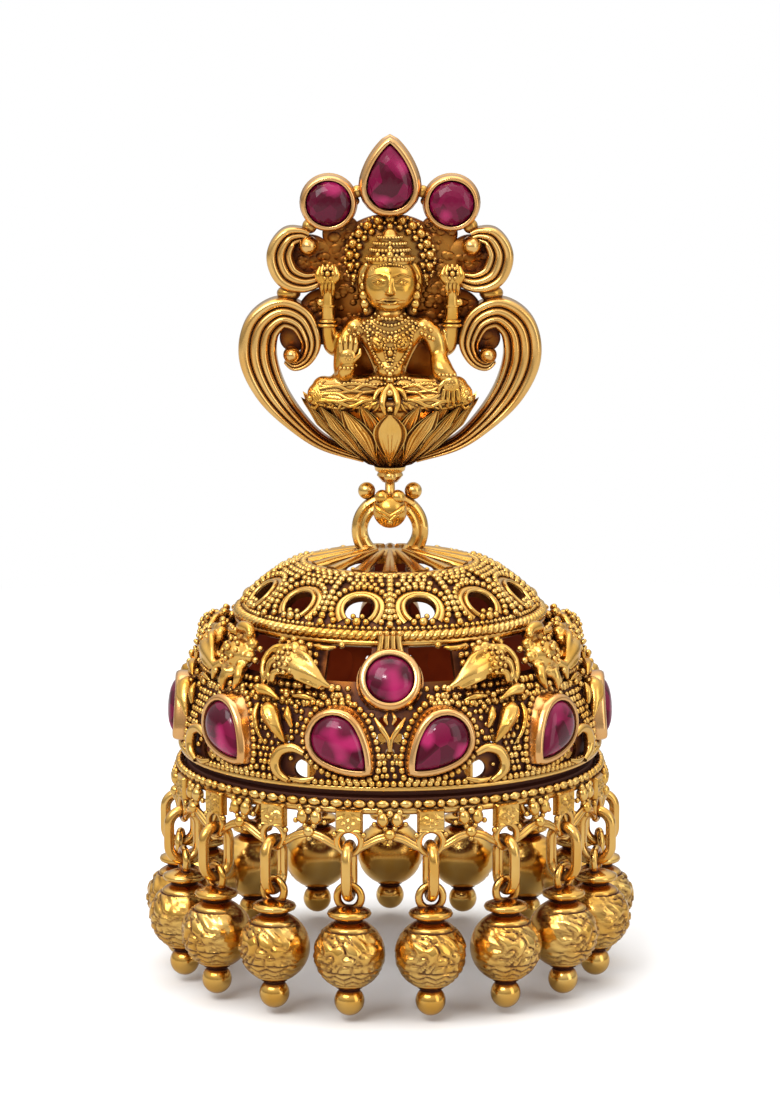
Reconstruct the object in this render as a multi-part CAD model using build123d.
from build123d import *

import math
import os

# Temple jhumka earring: a cast stud with a seated goddess, and a pierced bell hung with ball drops.
#
# Frame: +Z up, the front of the earring faces -Y and +X is to the right of someone looking at the front.
# The origin is on the axis of the ear post, in the stud's back plane, where the ear lobe rests.
# Lengths are in millimetres.

# ---- driving dimensions -------------------------------------------------------------------------

AXIS_Y = -1.5  # the hanging plane: centre of the stud loop, the bell and its ring

# Stones and settings
STUD_ROUND_R, STUD_ROUND_WALL = 1.50, 0.36  # round stones of the stud, and the wall of their bezels
BELL_ROUND_R, BELL_ROUND_WALL = 1.55, 0.52  # round stones of the bell
PEAR_ROUND_R = 1.55  # radius of a pear stone's round end
PEAR_POINT = 2.85  # from the centre of that end to the point
PEAR_SIDE_R = 5.0  # radius of its gently curved sides
PEAR_WALL = 0.46
STONE_T = 1.5  # stone, flat back to crest
STONE_SINK = 0.75  # depth of a stone's seat below the bezel's rim
ROUND_CREST_R, PEAR_CREST_R = 2.2, 4.4
BEZEL_T = 1.45
SEAT_GAP = 0.03

# Stud
PLATE_R, PLATE_Z = 4.75, -1.5  # plate behind the head and shoulders
LOW_PLATE_R, LOW_PLATE_Z = 3.5, -5.6  # plate behind the waist
SIDE_PLATES = [  # x, z and radius: behind the rear arms, and inside the upper and the lower scrolls
    (4.3, -3.6, 1.9),
    (5.3, 0.35, 1.5),
    (6.4, -5.0, 0.95),
]
PLATE_T = 0.7
SCROLL_T = 1.55  # the scrolls' flat bed
RIDGE_T = 2.0  # crests of the scrolls' ridges
KNOB_T = 2.1
WING_X, WING_Z, WING_R = 3.2, 1.9, 1.3  # small plates behind the round settings
STUD_ROUND_X, STUD_ROUND_Z = 4.05, 4.0
STUD_PEAR_Z = 5.1
STUD_BEZEL_BACK = 0.55  # the three settings stand this far in front of the back plane
POST_R = 0.42
POST_L = 11.0
POST_SEAT_R = 1.3
POST_SEAT_T = 0.5

# Hanging loop of the stud, and the bell's ring
PIVOT_Z = -15.73
RING_R, RING_WIRE_R = 2.02, 0.60
RING_GRAIN_X, RING_GRAIN_Z, RING_GRAIN_R = 1.55, -15.13, 0.58
RING_FOOT_X, RING_FOOT_R, RING_FOOT_T = 1.5, 0.78, 0.5
RING_SINK = 0.4  # how deep the cut ends of the ring go into the crown
LOOP_HOLE_R, LOOP_WIRE_R = 0.90, 0.34
HANG_GAP = 0.10
BUD_R, BUD_OUT, BUD_DOWN = 1.10, 0.62, 0.50  # beaded bud in front of the loop
BUD_GRAIN_X, BUD_GRAIN_R, BUD_GRAIN_OUT, BUD_GRAIN_UP = 0.5, 0.5, 0.80, 0.35
NECK_R, NECK_L = 0.75, 1.2  # stem between the lotus and the loop
NECK_BALL_R, NECK_BALL_OUT = 0.6, 1.0

# Bell
CROWN_Z, CROWN_FLAT_R = -19.25, 1.8
RIM_Z, RIM_R = -19.95, 5.55
WAIST_Z, WAIST_R = -23.15, 10.0
SHOULDER_Z, SHOULDER_R = -27.4, 12.95
BELT_Z, BELT_R = -29.8, 13.65
BASE_Z, BASE_R = -33.35, 13.75
SHELL_T = 0.75
SHELL_FOOT = 0.6  # how far the wall goes on below the base ring
SHELF_T = 0.55  # flat ring between the wall and the skirt's band
WAIST_WIRE_R, BASE_WIRE_R, RIM_WIRE_R = 0.38, 0.33, 0.32
SPOKES = 16
SLOT_R, SLOT_LENGTH, SLOT_W = 3.95, 1.9, 0.55  # slots between the spokes; length between end centres
ARCHES_A_SIDE = 6
ARCH_FIRST, ARCH_STEP, ARCH_SPREAD = 12.9, 28.9, 0.35  # azimuths; the step widens a little towards the back
ARCH_HOLE_R, ARCH_SEAT_R, ARCH_Z, ARCH_TILT = 0.95, 8.95, -21.75, 50
WINDOWS_A_SIDE = 5
WINDOW_FIRST, WINDOW_STEP = 14.5, 37.75
WINDOW_W, WINDOW_H, WINDOW_SEAT_R, WINDOW_Z, WINDOW_TILT = 2.6, 1.9, 11.6, -25.2, 35
BELT_HOLE_R, BELT_HOLE_Z, BELT_HOLE_ASIDE = 0.6, -31.3, 8.8  # open under each pear's hook, on its outer side
DOME_MID_R, DOME_MID_Z = 8.45, -21.3  # the upper dome's outer skin halfway down
DOME_INNER_R, DOME_INNER_Z = 7.95, -21.9
WAIST_INSIDE_IN, WAIST_INSIDE_DOWN = 0.4, 0.7  # the inner skin's turn, from the outer one's
WAIST_STEP_OUT, WAIST_STEP_DOWN = 0.6, 0.5  # ledge under the waist
PEARS_A_SIDE = 5
PEAR_FIRST, PEAR_STEP = 14.6, 36.2  # azimuths in degrees
PEAR_Z, PEAR_LEAN, PEAR_SEAT_R = -29.2, 42.0, 13.0
BELL_ROUND_Z, BELL_ROUND_SEAT_R, BELL_ROUND_TILT = -25.95, 11.5, 24.0

# Skirt and drops
DROPS = 17
SKIRT_R = 14.25
SKIRT_T, SKIRT_FOOT_Z = 0.5, -36.90  # the pierced band below the base ring
TAB_W = 1.35
WINDOW_TOP = 0.8  # top of the openings beside the tabs, below the base ring
PEAK_STEM_W, PEAK_STEM_TOP = 0.6, 0.55  # short stem over each peak of the zigzag
EYE_Z, EYE_HOLE_R = -35.80, 0.62
EYE_W = 2.1
PEAK_Z, PEAK_BALL_R = -35.20, 0.46
STRAND_W, STRAND_DROP = 0.5, 1.0  # width of the zigzag's strands, and how far they fall from peak to tab
PAIR_Z, PAIR_R, PAIR_X = -34.20, 0.46, 0.44
LINK_END_R, LINK_HALF, LINK_WIRE_R = 1.0, 0.68, 0.35
LINK_Z = -37.68
CAP_LOOP_R, CAP_LOOP_WIRE_R, CAP_LOOP_Z = 0.78, 0.28, -39.44
COLLAR_Z, COLLAR_R, COLLAR_T = -40.50, 1.43, 0.5
CAP_R, CAP_L = 0.85, 1.0
CAP_CONE_BASE, CAP_CONE_TOP, CAP_CONE_H = 0.8, 0.7, 0.5  # radii as shares of the collar's and the cap's
BALL_Z, BALL_R = -43.15, 2.33
TIP_Z, TIP_R, TIP_NECK_R = -46.25, 0.98, 0.55

# Spines of the two scrolls on the right of the stud. The left ones are their mirror images.
# Columns: x, z and the width of the band there.
LOWER_SCROLL = [
    (1.70, -13.00, 0.50),
    (4.39, -11.99, 0.90),
    (6.25, -10.50, 1.40),
    (7.88, -8.50, 2.07),
    (8.74, -6.30, 2.50),
    (8.50, -4.35, 2.45),
    (7.25, -3.30, 2.15),
    (5.90, -3.75, 1.85),
    (5.25, -5.15, 1.45),
    (5.55, -6.25, 1.05),
    (6.30, -6.72, 0.80),
    (6.90, -6.40, 0.50),
]
LOWER_KNOB = (6.50, -6.05, 0.58)  # x, z and radius of the ball the scroll curls round
UPPER_SCROLL = [
    (4.55, -1.00, 0.95),
    (5.75, -1.22, 1.40),
    (6.85, -0.72, 1.75),
    (7.28, 0.55, 1.75),
    (6.75, 1.65, 1.45),
    (5.95, 1.90, 1.00),
    (5.40, 1.75, 0.85),
]
UPPER_KNOB = (5.38, 1.18, 0.68)
SCROLL_JOINT, SCROLL_JOINT_R = (6.7, -0.9, -2.0), 0.75  # where the two scrolls of a side are soldered
RIDGE_SINK = 0.5  # the ridges start this far inside the bed
SCROLL_RIDGES = ((-0.34, 0.24), (0.0, 0.24), (0.34, 0.24))  # place across the band and width, as shares of it

# Head of the figure
FACE_W, FACE_H, FACE_Y, FACE_Z = 1.62, 2.0, -2.05, -1.25  # half width and half height
CROWN_W, CROWN_TIP_W, CROWN_H, CROWN_FOOT_Z = 1.42, 0.35, 2.2, 0.35
CROWN_BALL_R, CROWN_BALL_Z = 0.42, 2.6
THROAT_R, THROAT_H, THROAT_Y, THROAT_Z = 0.75, 1.6, -1.8, -4.2
HALO_R, HALO_T, HALO_Y, HALO_Z = 3.0, 0.75, -0.6, 0.3

END_FULLER = 0.02  # the balls at a bar's ends are this much larger than its shaft

# Limbs of the figure, each a tapered bar with round ends: start point, end point, the two radii.
LIMBS = [
    ((-2.35, -1.7, -4.7), (-3.00, -2.0, -7.25), 0.72, 0.58),  # right arm, shoulder to elbow
    ((-3.00, -2.0, -7.25), (-2.80, -3.2, -6.55), 0.55, 0.50),  # right forearm, towards the front
    ((-2.80, -3.2, -6.55), (-2.78, -3.3, -5.30), 0.58, 0.48),  # right palm, raised
    ((2.35, -1.7, -4.7), (3.45, -2.0, -6.10), 0.72, 0.60),  # left arm, shoulder to elbow
    ((3.45, -2.0, -6.10), (2.95, -3.2, -8.20), 0.58, 0.52),  # left forearm, down to the knee
    ((-2.20, -1.2, -4.7), (-4.00, -1.3, -5.60), 0.55, 0.50),  # rear right arm
    ((-4.00, -1.3, -5.60), (-4.10, -1.8, -1.30), 0.48, 0.38),  # upright forearm and the lotus stem
    ((2.20, -1.2, -4.7), (4.00, -1.3, -5.60), 0.55, 0.50),  # rear left arm
    ((4.00, -1.3, -5.60), (4.15, -1.8, -1.30), 0.48, 0.38),
    ((-1.00, -1.9, -8.40), (-4.55, -2.3, -8.85), 0.95, 0.85),  # right thigh
    ((1.00, -1.9, -8.40), (4.75, -2.3, -8.70), 0.95, 0.85),  # left thigh
    ((-4.40, -2.5, -9.00), (0.60, -3.3, -9.60), 0.75, 0.50),  # right shin, crossed in front
    ((4.55, -2.5, -8.90), (-0.40, -3.3, -9.50), 0.75, 0.50),  # left shin
]
BUDS = [(-4.15, -1.9, -0.60), (4.10, -1.9, -0.65)]  # lotus buds held in the rear hands
BUD_SIZE = 0.62

# Torso and lotus seat, as stacks of elliptical sections: height, half width, half depth.
TORSO = [
    (-3.75, 0.75, 0.60),
    (-4.60, 2.30, 0.85),
    (-5.70, 1.80, 1.05),
    (-7.30, 1.15, 0.80),
    (-8.70, 1.70, 0.95),
]
LOTUS = [
    (-9.30, 5.55, 2.35),
    (-10.90, 4.80, 2.30),
    (-12.40, 3.00, 1.85),
    (-13.55, 1.10, 1.10),
]
TORSO_Y, LOTUS_Y = -1.7, -1.2
LOTUS_BACK = 0.06
PETALS = [(-62, 1.9), (-36, 2.1), (0, 2.2), (36, 2.1), (62, 1.9)]  # lean in degrees and half length
PETAL_W = 0.95  # half width
PETAL_FOOT_Z, PETAL_Y, PETAL_BULGE = -13.2, -2.35, 0.5  # the middle petal stands out furthest
PETAL_SPREAD, PETAL_RISE = 2.415, 2.205  # reach of the petals' middles, sideways and up from the foot


# ---- helpers ------------------------------------------------------------------------------------


def facing(x, z, y):
    """Place parallel to the stud's front: local X is +X, local Y is +Z, and local Z is -Y."""
    return Plane(origin=(x, y, z), x_dir=(1, 0, 0), z_dir=(0, -1, 0)).location


def on_bell(azimuth, radius, z, tilt=0.0, turn=0.0):
    """Place on the bell: its Z points outwards and up by tilt, and turn spins it about that Z."""
    a, t = math.radians(azimuth), math.radians(tilt)
    out = Vector(math.sin(a), -math.cos(a), 0)
    normal = out * math.cos(t) + Vector(0, 0, 1) * math.sin(t)
    along = Vector(math.cos(a), math.sin(a), 0)
    origin = out * radius + Vector(0, AXIS_Y, z)
    return Plane(origin=origin, x_dir=along, z_dir=normal).location * Rot(0, 0, turn)


def bell_point(azimuth, radius, z, aside=0.0):
    """Point on the bell, moved aside along the tangent."""
    a = math.radians(azimuth)
    return Vector(
        radius * math.sin(a) + aside * math.cos(a),
        AXIS_Y - radius * math.cos(a) + aside * math.sin(a),
        z,
    )


def ball(point, radius):
    return Pos(*point) * Sphere(radius)


def bar(start, end, r_start, r_end):
    """Tapered round bar between two points, with a slightly fuller ball at each end."""
    a, b = Vector(*start), Vector(*end)
    along = b - a
    plane = Plane(origin=a, z_dir=along.normalized())
    if abs(r_start - r_end) < 1e-6:
        shaft = Solid.make_cylinder(r_start, along.length, plane)
    else:
        shaft = Solid.make_cone(r_start, r_end, along.length, plane)
    return fused([shaft, ball(a, r_start + END_FULLER), ball(b, r_end + END_FULLER)])


def fused(pieces):
    """One body from overlapping pieces, joined in turn."""
    body, *rest = pieces
    for piece in rest:
        body = body.fuse(piece)
    return body


def pear_outline(grow=0.0):
    """Teardrop face, round end at the local origin and point along +X, grown by an even margin."""
    gap = PEAR_SIDE_R - PEAR_ROUND_R
    side_x = (PEAR_POINT**2 - PEAR_SIDE_R**2 + gap**2) / (2 * PEAR_POINT)
    side_y = math.sqrt(gap**2 - side_x**2)
    big, small = PEAR_SIDE_R + grow, PEAR_ROUND_R + grow
    tip = Vector(side_x + math.sqrt(big**2 - side_y**2), 0)
    touch = Vector(-side_x, side_y) * (small / gap)
    start = math.atan2(touch.Y + side_y, touch.X - side_x)
    end = math.atan2(side_y, tip.X - side_x)
    half = (start + end) / 2
    middle = Vector(side_x + big * math.cos(half), -side_y + big * math.sin(half))
    edges = [
        Edge.make_three_point_arc(tip, middle, touch),
        Edge.make_three_point_arc(touch, Vector(-small, 0), Vector(touch.X, -touch.Y)),
        Edge.make_three_point_arc(Vector(touch.X, -touch.Y), Vector(middle.X, -middle.Y), tip),
    ]
    return make_face(edges)


def bezel(outer, seat):
    """Bezel block with a flat-bottomed seat for its stone."""
    return extrude(outer, BEZEL_T) - Pos(0, 0, BEZEL_T - STONE_SINK) * extrude(seat, STONE_SINK)


def cabochon(outline, crest_r, crest_x=0.0):
    """Flat-backed domed stone, lying in its bezel's seat."""
    crest = Pos(crest_x, 0, STONE_T - crest_r) * Sphere(crest_r)
    return Pos(0, 0, BEZEL_T - STONE_SINK + SEAT_GAP) * (extrude(outline, STONE_T) & crest)


def pear_bezel():
    return bezel(pear_outline(PEAR_WALL), pear_outline(SEAT_GAP))


def pear_stone():
    return cabochon(pear_outline(), PEAR_CREST_R, 0.45)


def round_bezel(radius, wall):
    return bezel(Circle(radius + wall), Circle(radius + SEAT_GAP))


def round_stone(radius):
    return cabochon(Circle(radius), ROUND_CREST_R)


def section_stack(rows, centre_y):
    """Solid with straight walls between horizontal ellipses."""
    faces = [Pos(0, centre_y, z) * Ellipse(wide, deep) for z, wide, deep in rows]
    return loft(Sketch() + faces, ruled=True)


def whole(shape):
    """The shape's one solid, checked."""
    solids = shape.solids()
    if len(solids) != 1:
        raise ValueError(f"expected one solid and got {[round(s.volume, 3) for s in solids]}")
    return solids[0]


# ---- the stud -----------------------------------------------------------------------------------


def band_face(spine, place=0.0, share=1.0):
    """Face of a scroll's band, or of one ridge on it, in the local plane of the stud's front."""
    points = [Vector(x, z) for x, z, _ in spine]
    line = Edge.make_spline(points)
    left, right = [], []
    for point, (_, _, width) in zip(points, spine):
        tangent = line.tangent_at(line.param_at_point(point))
        across = Vector(-tangent.Y, tangent.X)
        middle = point + across * (place * width)
        left.append(middle + across * (share * width / 2))
        right.append(middle - across * (share * width / 2))
    edges = [
        Edge.make_spline(left),
        Edge.make_line(left[-1], right[-1]),
        Edge.make_spline(right[::-1]),
        Edge.make_line(right[0], left[0]),
    ]
    return make_face(edges)


def scroll(spine, knob):
    """Grooved scroll on the right of the stud: a flat bed, ridges along it, and a knob at its curled end."""
    front = facing(0, 0, 0)
    pieces = [front * extrude(band_face(spine), SCROLL_T)]
    for place, share in SCROLL_RIDGES:
        ridge = extrude(band_face(spine, place, share), RIDGE_T - RIDGE_SINK)
        pieces.append(front * Pos(0, 0, RIDGE_SINK) * ridge)
    x, z, radius = knob
    pieces.append(front * Pos(x, z, 0) * extrude(Circle(radius), KNOB_T))
    return pieces


def spindle(half_width, half_height):
    """Ellipsoid of revolution about the vertical, centred on the origin."""
    right_half = Pos(half_height, 0) * Rectangle(2 * half_height, 4 * half_height)
    half = Ellipse(half_width, half_height) & right_half
    return revolve(Plane.XZ * half, axis=Axis.Z, revolution_arc=360)


def head():
    """Face, neck, tall crown and the halo disc behind them."""
    face = Pos(0, FACE_Y, FACE_Z) * spindle(FACE_W, FACE_H)
    crown = Solid.make_cone(CROWN_W, CROWN_TIP_W, CROWN_H, Plane(origin=(0, FACE_Y, CROWN_FOOT_Z)))
    neck = Solid.make_cylinder(THROAT_R, THROAT_H, Plane(origin=(0, THROAT_Y, THROAT_Z)))
    halo = Solid.make_cylinder(HALO_R, HALO_T, Plane(origin=(0, HALO_Y, HALO_Z), z_dir=(0, -1, 0)))
    return [face, crown, neck, halo, ball((0, FACE_Y, CROWN_BALL_Z), CROWN_BALL_R)]


def lotus():
    """Lotus seat: a half bowl, cut flat just in front of the back plane, with leaning petals on its front."""
    size = 20  # larger than the bowl
    behind = Pos(0, size / 4 - LOTUS_BACK, LOTUS[0][0]) * Box(size, size / 2, size)
    pieces = [section_stack(LOTUS, LOTUS_Y) - behind]
    for lean, half_length in PETALS:
        a = math.radians(lean)
        middle = (
            PETAL_SPREAD * math.sin(a),
            PETAL_Y - PETAL_BULGE * math.cos(a),
            PETAL_FOOT_Z + PETAL_RISE * math.cos(a),
        )
        pieces.append(Pos(*middle) * Rot(0, lean, 0) * spindle(PETAL_W, half_length))
    return pieces


def hanging_loop():
    """Neck under the lotus, the loop that the bell's ring hangs in, and the beaded bud in front of it."""
    loop_z = PIVOT_Z + LOOP_HOLE_R - RING_WIRE_R - HANG_GAP
    loop_r = LOOP_HOLE_R + LOOP_WIRE_R
    loop_top = loop_z + loop_r
    front_y = AXIS_Y - loop_r
    loop = Pos(0, AXIS_Y, loop_z) * Rot(0, 90, 0) * Torus(loop_r, LOOP_WIRE_R)
    neck = Solid.make_cylinder(NECK_R, NECK_L, Plane(origin=(0, AXIS_Y - 0.2, loop_top - 0.1)))
    bud = ball((0, front_y - BUD_OUT, PIVOT_Z - BUD_DOWN), BUD_R)
    grain_y, grain_z = front_y - BUD_GRAIN_OUT, PIVOT_Z + BUD_GRAIN_UP
    grains = [ball((side * BUD_GRAIN_X, grain_y, grain_z), BUD_GRAIN_R) for side in (-1, 1)]
    collar = ball((0, AXIS_Y - NECK_BALL_OUT, loop_top + 0.2), NECK_BALL_R)
    return [loop, neck, bud, collar, *grains]


def scroll_frame():
    """The two pairs of scrolls, with the solder joint where the upper and the lower ones meet."""
    right = fused([*scroll(LOWER_SCROLL, LOWER_KNOB), *scroll(UPPER_SCROLL, UPPER_KNOB), ball(SCROLL_JOINT, SCROLL_JOINT_R)])
    return right, mirror(right, Plane.YZ)


def figure():
    """The seated goddess with her halo, four arms and two lotus buds."""
    limbs = [bar(start, end, r_start, r_end) for start, end, r_start, r_end in LIMBS]
    buds = [ball(point, BUD_SIZE) for point in BUDS]
    return fused([*head(), section_stack(TORSO, TORSO_Y), *limbs, *buds])


def stud():
    """The cast and soldered stud: plates, scrolls, figure, lotus, three settings and the hanging loop."""
    front = facing(0, 0, 0)
    plates = [front * Pos(0, PLATE_Z, 0) * extrude(Circle(PLATE_R), PLATE_T)]
    plates.append(front * Pos(0, LOW_PLATE_Z, 0) * extrude(Circle(LOW_PLATE_R), PLATE_T))
    for side in (-1, 1):
        plates.append(front * Pos(side * WING_X, WING_Z, 0) * extrude(Circle(WING_R), PLATE_T))
        for x, z, radius in SIDE_PLATES:
            plates.append(front * Pos(side * x, z, 0) * extrude(Circle(radius), PLATE_T))
    body = fused([*plates, *scroll_frame(), *lotus(), figure(), fused(hanging_loop())])
    for place, setting, _, clearing in stud_settings():
        body = body - place * extrude(clearing, BEZEL_T + 2)
        body = body.fuse(place * setting)
    hole = front * Pos(0, 0, -1) * extrude(Circle(POST_SEAT_R + SEAT_GAP), POST_SEAT_T + SEAT_GAP + 1)
    return whole(body - hole)


def stud_settings():
    """Place of each setting on the stud, its bezel, its stone, and the face kept clear in front of it."""
    round_setting = round_bezel(STUD_ROUND_R, STUD_ROUND_WALL), round_stone(STUD_ROUND_R)
    round_clear = Circle(STUD_ROUND_R + STUD_ROUND_WALL / 2)
    pear_place = facing(0, STUD_PEAR_Z, -STUD_BEZEL_BACK - 0.1) * Rot(0, 0, 90)
    return [
        (facing(-STUD_ROUND_X, STUD_ROUND_Z, -STUD_BEZEL_BACK), *round_setting, round_clear),
        (facing(STUD_ROUND_X, STUD_ROUND_Z, -STUD_BEZEL_BACK), *round_setting, round_clear),
        (pear_place, pear_bezel(), pear_stone(), pear_outline(PEAR_WALL / 2)),
    ]


def ear_post():
    """Plain post on a round foot let into the stud's back."""
    foot = Solid.make_cylinder(POST_SEAT_R, POST_SEAT_T, Plane(origin=(0, -POST_SEAT_T, 0), z_dir=(0, 1, 0)))
    shaft = Solid.make_cylinder(POST_R, POST_L - POST_R, Plane(origin=(0, 0, 0), z_dir=(0, 1, 0)))
    return whole(foot.fuse(shaft, ball((0, POST_L - POST_R, 0), POST_R)))


# ---- the bell -----------------------------------------------------------------------------------


def shell():
    """Turned body of the bell: a wall of even thickness with its rope rings and the skirt's band."""
    t = SHELL_T
    foot_z = BASE_Z - SHELL_FOOT
    ledge = (WAIST_R + WAIST_STEP_OUT, WAIST_Z - WAIST_STEP_DOWN)
    inner_waist = (WAIST_R - WAIST_INSIDE_IN, WAIST_Z - WAIST_INSIDE_DOWN)
    inner_rim = (RIM_R - 0.1, RIM_Z - t)
    wall = make_face(
        [
            Line((0, CROWN_Z), (CROWN_FLAT_R, CROWN_Z)),
            Line((CROWN_FLAT_R, CROWN_Z), (RIM_R, RIM_Z)),
            ThreePointArc((RIM_R, RIM_Z), (DOME_MID_R, DOME_MID_Z), (WAIST_R, WAIST_Z)),
            Line((WAIST_R, WAIST_Z), ledge),
            Line(ledge, (SHOULDER_R, SHOULDER_Z)),
            ThreePointArc((SHOULDER_R, SHOULDER_Z), (BELT_R, BELT_Z), (BELT_R, foot_z)),
            Line((BELT_R, foot_z), (BELT_R - t, foot_z)),
            ThreePointArc((BELT_R - t, foot_z), (BELT_R - t, BELT_Z), (SHOULDER_R - t, SHOULDER_Z)),
            Line((SHOULDER_R - t, SHOULDER_Z), inner_waist),
            ThreePointArc(inner_waist, (DOME_INNER_R, DOME_INNER_Z), inner_rim),
            Line(inner_rim, (CROWN_FLAT_R, CROWN_Z - t)),
            Line((CROWN_FLAT_R, CROWN_Z - t), (0, CROWN_Z - t)),
            Line((0, CROWN_Z - t), (0, CROWN_Z)),
        ]
    )
    shelf_inside = BELT_R - 0.4  # well inside the wall
    shelf_z = BASE_Z - 0.5
    skirt_top = BASE_Z - 0.35
    profile = wall + [
        Pos(RIM_R, RIM_Z) * Circle(RIM_WIRE_R),
        Pos(WAIST_R + 0.05, WAIST_Z) * Circle(WAIST_WIRE_R),
        Pos(BASE_R + 0.2, BASE_Z) * Circle(BASE_WIRE_R),
        Pos((shelf_inside + SKIRT_R) / 2, shelf_z) * Rectangle(SKIRT_R - shelf_inside, SHELF_T),
        Pos(SKIRT_R, (skirt_top + SKIRT_FOOT_Z) / 2) * Rectangle(SKIRT_T, skirt_top - SKIRT_FOOT_Z),
    ]
    return Pos(0, AXIS_Y, 0) * revolve(Plane.XZ * profile, axis=Axis.Z, revolution_arc=360)


def piercings():
    """Cutters for the slots between the crown's spokes, the arches, the windows and the belt's holes."""
    deep = 4  # longer than any of these holes is deep
    cutters = []
    for i in range(SPOKES):
        slot = extrude(SlotCenterToCenter(SLOT_LENGTH, SLOT_W, rotation=90), deep)
        cutters.append(on_bell((i + 0.5) * 360 / SPOKES, SLOT_R, CROWN_Z - deep / 2, 90) * slot)
    for azimuth in arch_azimuths():
        cutters.append(on_bell(azimuth, ARCH_SEAT_R, ARCH_Z, ARCH_TILT) * Cylinder(ARCH_HOLE_R, deep))
    for azimuth in window_azimuths():
        window = extrude(Rectangle(WINDOW_W, WINDOW_H), deep, both=True)
        cutters.append(on_bell(azimuth, WINDOW_SEAT_R, WINDOW_Z, WINDOW_TILT) * window)
    for azimuth, side in pear_azimuths():
        place = on_bell(azimuth + side * BELT_HOLE_ASIDE, BELT_R, BELT_HOLE_Z)
        cutters.append(place * Cylinder(BELT_HOLE_R, deep))
    return cutters


def both_sides(azimuths):
    """The azimuths and their mirror images."""
    return [side * azimuth for azimuth in azimuths for side in (-1, 1)]


def arch_azimuths():
    """Azimuth of each arch of the upper dome."""
    return both_sides(ARCH_FIRST + ARCH_STEP * i + ARCH_SPREAD * i**2 for i in range(ARCHES_A_SIDE))


def window_azimuths():
    """Azimuth of each window below the waist, between the figures of the middle band."""
    return both_sides(WINDOW_FIRST + WINDOW_STEP * i for i in range(WINDOWS_A_SIDE))


def pear_azimuths():
    """Azimuth and side of each pear: they lean towards the front, in mirrored halves."""
    return [(side * (PEAR_FIRST + i * PEAR_STEP), side) for i in range(PEARS_A_SIDE) for side in (-1, 1)]


def bell_settings():
    """Place of each setting on the bell by its stone's name, with bezel, stone and a clearing face."""
    round_setting = round_bezel(BELL_ROUND_R, BELL_ROUND_WALL), round_stone(BELL_ROUND_R)
    round_clear = Circle(BELL_ROUND_R + BELL_ROUND_WALL / 2)
    pear_setting = pear_bezel(), pear_stone(), pear_outline(PEAR_WALL / 2)
    settings = {}
    for name, azimuth in (("bell_stone_front", 0), ("bell_stone_back", 180)):
        place = on_bell(azimuth, BELL_ROUND_SEAT_R, BELL_ROUND_Z, BELL_ROUND_TILT)
        settings[name] = (place, *round_setting, round_clear)
    for i, (azimuth, side) in enumerate(pear_azimuths(), 1):
        turn = -PEAR_LEAN if side < 0 else 180 + PEAR_LEAN
        settings[f"bell_pear_{i:02d}"] = (on_bell(azimuth, PEAR_SEAT_R, PEAR_Z, 4, turn), *pear_setting)
    return settings


def skirt_cutters():
    """What is cut from the skirt's band to leave tabs with eyes, and a zigzag strand between them."""
    step = 360 / DROPS
    half_step = SKIRT_R * math.tan(math.radians(step / 2))
    window_x = half_step - TAB_W / 2
    notch_x = half_step - EYE_W / 2
    band_z = BASE_Z - WINDOW_TOP
    stem_x = PEAK_STEM_W / 2
    window = [
        (window_x, band_z),
        (PAIR_X + PAIR_R, band_z),
        (stem_x, PEAK_Z + PEAK_STEM_TOP),
        (stem_x, PEAK_Z + STRAND_W / 2),
        (window_x, PEAK_Z + STRAND_W / 2 - STRAND_DROP),
    ]
    notch = [
        (0, PEAK_Z - STRAND_W),
        (notch_x, PEAK_Z - STRAND_W / 2 - STRAND_DROP),
        (notch_x, SKIRT_FOOT_Z - 1),
        (-notch_x, SKIRT_FOOT_Z - 1),
        (-notch_x, PEAK_Z - STRAND_W / 2 - STRAND_DROP),
    ]
    cutters = []
    for i in range(DROPS):
        at_peak = on_bell(i * step, SKIRT_R - 1, 0)
        for side in (-1, 1):
            outline = [(side * x, z) for x, z in window]
            cutters.append(at_peak * extrude(make_face(Polyline(*outline, close=True)), 2))
        cutters.append(at_peak * extrude(make_face(Polyline(*notch, close=True)), 2))
        cutters.append(on_bell((i + 0.5) * step, SKIRT_R, EYE_Z) * Cylinder(EYE_HOLE_R, 2))
    return cutters


def skirt_grains():
    """Balls at the zigzag's peaks and the pairs of grains above them."""
    grains = []
    for i in range(DROPS):
        azimuth = i * 360 / DROPS
        grains.append(ball(bell_point(azimuth, SKIRT_R, PEAK_Z), PEAK_BALL_R))
        for side in (-1, 1):
            grains.append(ball(bell_point(azimuth, SKIRT_R - 0.05, PAIR_Z, side * PAIR_X), PAIR_R))
    return grains


def bell():
    """The soldered bell: pierced shell, rope rings, settings, hanging ring and skirt."""
    body = (shell() - piercings() - skirt_cutters()).fuse(*skirt_grains())
    for place, setting, _, clearing in bell_settings().values():
        body = body - place * Pos(0, 0, BEZEL_T / 2) * extrude(clearing, BEZEL_T)
        body = body.fuse(place * setting)
    ring = Pos(0, AXIS_Y, PIVOT_Z - RING_R) * Rot(90, 0, 0) * Torus(RING_R, RING_WIRE_R)
    size = 10  # larger than the ring
    below = Pos(0, AXIS_Y, CROWN_Z - RING_SINK - size / 2) * Box(size, size, size)
    ends = []
    for side in (-1, 1):
        ends.append(ball((side * RING_GRAIN_X, AXIS_Y, RING_GRAIN_Z), RING_GRAIN_R))
        foot_place = Plane(origin=(side * RING_FOOT_X, AXIS_Y, CROWN_Z - RING_FOOT_T / 2))
        ends.append(Solid.make_cylinder(RING_FOOT_R, RING_FOOT_T, foot_place))
    return whole(body.fuse(ring - below, *ends))


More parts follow.
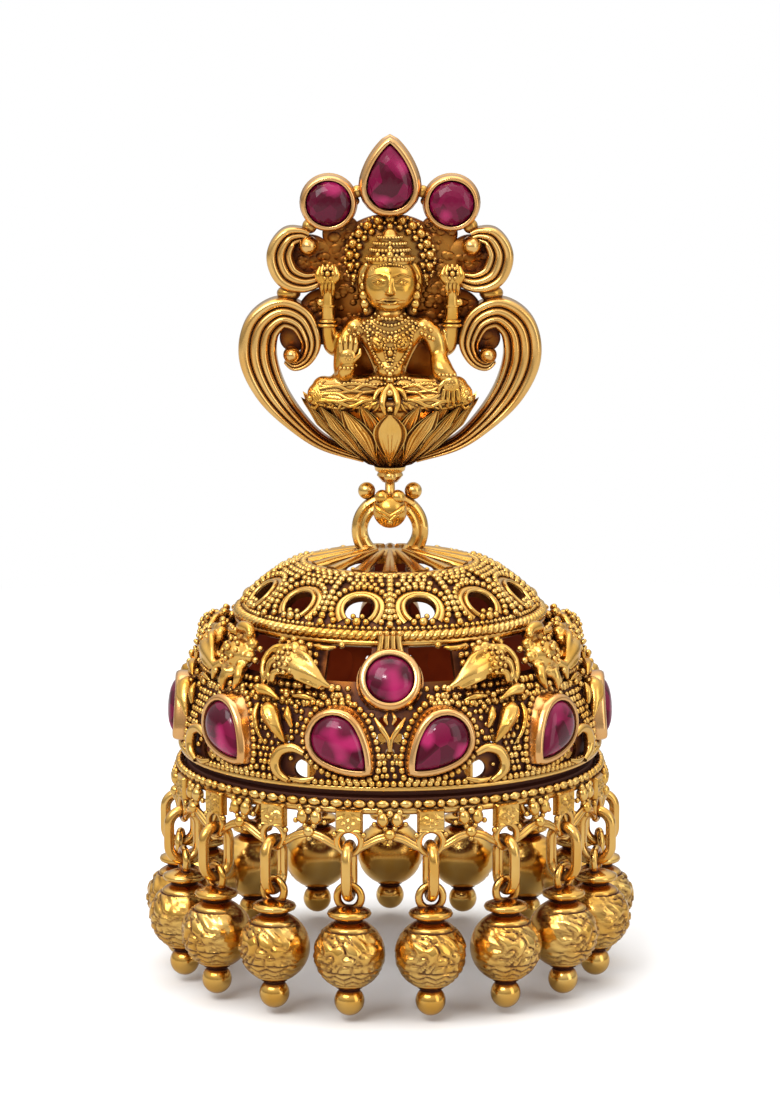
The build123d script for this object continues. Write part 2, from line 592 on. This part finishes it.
def link():
    """Oval jump ring, in the plane of local X and Y, long way along Y."""
    r, h = LINK_END_R, LINK_HALF
    path = Wire(
        [
            Edge.make_line((r, -h, 0), (r, h, 0)),
            Edge.make_three_point_arc((r, h, 0), (0, h + r, 0), (-r, h, 0)),
            Edge.make_line((-r, h, 0), (-r, -h, 0)),
            Edge.make_three_point_arc((-r, -h, 0), (0, -h - r, 0), (r, -h, 0)),
        ]
    )
    section = Plane(origin=(r, 0, 0), x_dir=(1, 0, 0), z_dir=(0, 1, 0)) * Circle(LINK_WIRE_R)
    return sweep(section, path=path)


def drop():
    """Ball drop about its own vertical axis: loop, collar, ball, neck and tip bead, soldered together."""
    collar_top = COLLAR_Z + COLLAR_T / 2
    cone_place = Plane(origin=(0, 0, collar_top - 0.05))
    neck_l = BALL_Z - BALL_R - TIP_Z + 0.4  # a little way into the ball
    solids = [
        ball((0, 0, BALL_Z), BALL_R),
        Solid.make_cylinder(COLLAR_R, COLLAR_T, Plane(origin=(0, 0, collar_top - COLLAR_T))),
        Solid.make_cylinder(CAP_R, CAP_L, Plane(origin=(0, 0, COLLAR_Z - CAP_L))),
        Solid.make_cone(COLLAR_R * CAP_CONE_BASE, CAP_R * CAP_CONE_TOP, CAP_CONE_H, cone_place),
        Pos(0, 0, CAP_LOOP_Z) * Rot(90, 0, 0) * Torus(CAP_LOOP_R, CAP_LOOP_WIRE_R),
        Solid.make_cylinder(TIP_NECK_R, neck_l, Plane(origin=(0, 0, TIP_Z))),
        ball((0, 0, TIP_Z), TIP_R),
    ]
    passage = Pos(0, 0, CAP_LOOP_Z) * Rot(90, 0, 0) * Cylinder(CAP_LOOP_R - CAP_LOOP_WIRE_R, 4)
    return whole(fused(solids) - passage)


# ---- build --------------------------------------------------------------------------------------


def build():
    """All pieces by node name."""
    pieces = {"stud": stud(), "ear_post": ear_post()}
    stud_stones = ("stud_stone_left", "stud_stone_right", "stud_stone_pear")
    for name, (place, _, stone, _) in zip(stud_stones, stud_settings()):
        pieces[name] = place * stone
    pieces["bell"] = bell()
    for name, (place, _, stone, _) in bell_settings().items():
        pieces[name] = place * stone
    one_link, one_drop = link(), drop()
    upright = Rot(0, 0, 90) * Rot(90, 0, 0)
    for i in range(DROPS):
        azimuth = (i + 0.5) * 360 / DROPS
        turned = Rot(0, 0, azimuth)
        pieces[f"link_{i + 1:02d}"] = Pos(*bell_point(azimuth, SKIRT_R, LINK_Z)) * turned * upright * one_link
        pieces[f"drop_{i + 1:02d}"] = Pos(*bell_point(azimuth, SKIRT_R, 0)) * turned * one_drop
    return pieces


os.makedirs("parts", exist_ok=True)
for name, shape in build().items():
    export_step(shape, f"parts/{name}.step")
